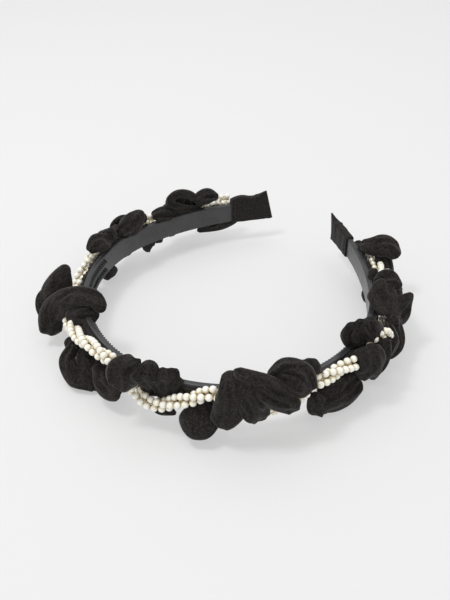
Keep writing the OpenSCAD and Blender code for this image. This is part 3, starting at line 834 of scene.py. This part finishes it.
def tube(name, path, radius, material, sides=8):
    """Round tube along a list of points."""
    rings = []
    for k, point in enumerate(path):
        way = (path[min(k + 1, len(path) - 1)] - path[max(k - 1, 0)]).normalized()
        a = way.cross(Vector((0.31, 0.17, 0.93))).normalized()
        b = way.cross(a)
        rings.append([point + (a * math.cos(t) + b * math.sin(t)) * radius
                      for t in (2 * math.pi * i / sides for i in range(sides))])
    return swept(name, rings, material)


CRIMP_STATION = 105.0
crimp_place = None
for strand, letter in enumerate("abc"):
    places, stations = strand_points(strand)
    length = np.concatenate([[0], np.cumsum([(b - a).length for a, b in zip(places, places[1:])])]) / MM
    count = int(length[-1] / PEARL_PITCH)
    pitch = length[-1] / count
    middles = [int(np.searchsorted(length, min(i * pitch, length[-1]))) for i in range(count + 1)]
    first_right = next(i for i, k in enumerate(middles) if stations[k] > 1.5)
    crimp = min(range(count + 1), key=lambda i: abs(stations[middles[i]] - CRIMP_STATION))
    stretches = [(-1, "left", 0, first_right - 1), (1, "right", first_right, count)]
    for side, half, low, high in stretches:
        runs = [(low, high)]
        if letter == "a" and side > 0:
            runs = [(low, crimp - 1), (crimp + 1, high)]
            crimp_place = (places[middles[crimp]], places[middles[crimp] + 3] - places[middles[crimp] - 3])
        beads = [row_on_path(f"pearls_{letter}_{half}_{n}", places[middles[a]:middles[b] + 1], b - a + 1,
                             bead, pearl_lacquer, 11 + strand) for n, (a, b) in enumerate(runs)]
        pearls = beads[0]
        if len(beads) > 1:
            bpy.ops.object.select_all(action="DESELECT")
            for part in beads:
                part.select_set(True)
            bpy.context.view_layer.objects.active = pearls
            bpy.ops.object.join()
        pearls.name = f"pearls_{letter}_{half}_half"
        pearls.data.shade_smooth()
        bend_with_arm(pearls, side)
        cord_path = places[middles[low]:middles[high] + 1:4]
        string = tube(f"string_{letter}_{half}_half", cord_path, 0.2 * MM, ivory_thread, 6)
        bend_with_arm(string, side)
        nodes_here = [f"_{letter}_{half}_arm"] + ([f"_{letter}_crown"] if side < 0 else [])
        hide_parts(*["pearls" + n for n in nodes_here])
        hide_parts(*["string" + n for n in nodes_here])
bpy.data.objects.remove(bead)

# ---------------------------------------------------------------------------------------------
# Crimp bead. A small plated tube squeezed on the thread where one strand was joined.
# ---------------------------------------------------------------------------------------------
silver_plate, nodes, links, shader = new_material("silver_plate")
grain = add_grain(nodes, 4.0)
links.new(ramp(nodes, links, grain.outputs["Wave"], [(0.3, (0.62, 0.62, 0.63)), (0.7, (0.86, 0.86, 0.87))]),
          shader.inputs["Base Color"])
gloss = math_node(nodes, links, "MULTIPLY_ADD", grain.outputs["Grain"], 0.2, 0.12)
links.new(gloss, shader.inputs["Roughness"])
shader.inputs["Metallic"].default_value = 1.0
middle, way = crimp_place
way = way.normalized()
rings = []
for along, radius in ((-1.0, 0.55), (-1.0, 1.0), (-0.8, 1.2), (-0.25, 1.25), (0, 1.05), (0.25, 1.25),
                      (0.8, 1.2), (1.0, 1.0), (1.0, 0.55)):
    a = way.cross(Vector((0, 0, 1))).normalized()
    b = way.cross(a)
    rings.append([middle + way * along * MM + (a * math.cos(t) + b * math.sin(t)) * radius * MM
                  for t in (2 * math.pi * i / 16 for i in range(16))])
crimp_tube = swept("crimp_tube", rings, silver_plate)
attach(crimp_tube, "right_arm")
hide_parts("crimp_bead")

# ---------------------------------------------------------------------------------------------
# Rope ties. Clear nylon filament wound round each end of the rope, with its cut ends left
# standing beside the first pearls on the left arm.
# ---------------------------------------------------------------------------------------------
clear_nylon, nodes, links, shader = new_material("clear_nylon")
grain = add_grain(nodes, 2.0)
links.new(ramp(nodes, links, grain.outputs["Wave"], [(0.3, (0.80, 0.83, 0.86)), (0.7, (0.93, 0.95, 0.97))]),
          shader.inputs["Base Color"])
shader.inputs["Roughness"].default_value = 0.12
shader.inputs["Alpha"].default_value = 0.4
shader.inputs["IOR"].default_value = 1.5
for side, half, station in ((-1, "left", -160.0), (1, "right", 154.0)):
    k = int(np.searchsorted(route_station, station))
    ahead = (route_points[k + 2] - route_points[k - 2]).normalized()
    side_way = ahead.cross(outward(station)).normalized()
    out = side_way.cross(ahead)
    turns = 2
    path = []
    for i in range(turns * 20 + 1):
        t = 2 * math.pi * i / 20
        path.append(route_points[k] + ahead * ((i / 20 - turns / 2) * 0.5 * MM)
                    + (out * math.cos(t) + side_way * math.sin(t)) * ((STRAND_R + PEARL_D / 2 + 0.3) * MM))
    if side < 0:
        for i in range(1, 10):
            path.append(path[turns * 20] + (ahead * (0.9 * i) + Vector((0, 0, 1)) * (1.6 * math.sin(i * 0.5))
                        - outward(station) * (0.2 * i)) * MM)
    tie = tube(f"{half}_nylon_tie", path, 0.11 * MM, clear_nylon, 6)
    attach(tie, "left_arm" if side < 0 else "right_arm")
    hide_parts(f"{half}_rope_tie")

# ---------------------------------------------------------------------------------------------
# Sleeve stitches. A short row of black hand stitches at the mouth of each end sleeve.
# ---------------------------------------------------------------------------------------------
black_thread, nodes, links, shader = new_material("black_thread")
grain = add_grain(nodes, 3.0)
black = ramp(nodes, links, grain.outputs["Grain"],
             [(0.3, (0.012, 0.011, 0.011)), (0.7, (0.05, 0.047, 0.047))])
links.new(black, shader.inputs["Base Color"])
shader.inputs["Roughness"].default_value = 0.75
stitch_rings = []
for k in range(7):
    x = -0.75 + 1.5 * k / 6
    radius = 0.2 * math.sqrt(max(0.05, 1 - (x / 0.8) ** 2))
    stitch_rings.append([Vector((x, radius * math.cos(t), 0.12 + radius * math.sin(t))) * MM
                         for t in (2 * math.pi * i / 6 for i in range(6))])
stitch = swept("stitch_pattern", stitch_rings, black_thread)
for side, half in ((-1, "left"), (1, "right")):
    s = side * (SLEEVE_START + 1.6)
    path = [at(s, -1.0, z) for z in spread(BAND_Z + 1, BAND_Z + BAND_W - 1, 0.5)]
    stitches = row_on_path(f"{half}_sleeve_stitch_row", path, 5, stitch, black_thread, 3)
    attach(stitches, "left_arm" if side < 0 else "right_arm")
    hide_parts(f"{half}_sleeve_stitches")
bpy.data.objects.remove(stitch)

# ---------------------------------------------------------------------------------------------
# Adhesive and gathering thread. Two thin beads of clear glue hold the gathered line of the
# ruffle to the outer face of the band, with the thread between them. The lobes cover both.
# ---------------------------------------------------------------------------------------------
dried_glue, nodes, links, shader = new_material("dried_glue")
grain = add_grain(nodes, 1.0)
links.new(ramp(nodes, links, grain.outputs["Wave"], [(0.3, (0.05, 0.047, 0.04)), (0.7, (0.12, 0.11, 0.09))]),
          shader.inputs["Base Color"])
shader.inputs["Roughness"].default_value = 0.35
for name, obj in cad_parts.items():
    if name.startswith("adhesive"):
        obj.data.materials.clear()
        obj.data.materials.append(dried_glue)
    elif name.startswith("gathering"):
        obj.data.materials.clear()
        obj.data.materials.append(black_thread)

# ---------------------------------------------------------------------------------------------
# Studio. A pale, faintly glowing floor that runs on past the view, two broad soft lights and one
# smaller key light.
# ---------------------------------------------------------------------------------------------
pale_floor, nodes, links, shader = new_material("pale_floor")
shader.inputs["Base Color"].default_value = (0.43, 0.43, 0.43, 1)
shader.inputs["Roughness"].default_value = 0.9
shader.inputs["Emission Color"].default_value = (1, 1, 1, 1)
shader.inputs["Emission Strength"].default_value = 0.375
shader.inputs["Specular IOR Level"].default_value = 0.1
floor_half = 3.0
floor = new_object("floor", [(-floor_half, -floor_half, 0), (floor_half, -floor_half, 0),
                             (floor_half, floor_half, 0), (-floor_half, floor_half, 0)],
                   [(0, 1, 2, 3)], pale_floor, smooth=False)
world = bpy.data.worlds.new("studio")
world.use_nodes = True
world.node_tree.nodes["Background"].inputs["Color"].default_value = (1, 1, 1, 1)
world.node_tree.nodes["Background"].inputs["Strength"].default_value = 0.68
bpy.context.scene.world = world
bpy.context.scene.view_settings.view_transform = "Standard"


def soft_light(name, place, size, power):
    light = bpy.data.lights.new(name, "AREA")
    light.size = size
    light.energy = power
    lamp = bpy.data.objects.new(name, light)
    bpy.context.collection.objects.link(lamp)
    lamp.location = place
    lamp.rotation_euler = (-Vector(place)).to_track_quat("-Z", "Y").to_euler()


soft_light("overhead", (-0.15, 0.25, 0.9), 0.9, 2.6)
soft_light("fill", (0.7, -0.5, 0.6), 0.5, 0.8)
soft_light("key", (-0.25, -0.2, 0.8), 0.16, 2.2)
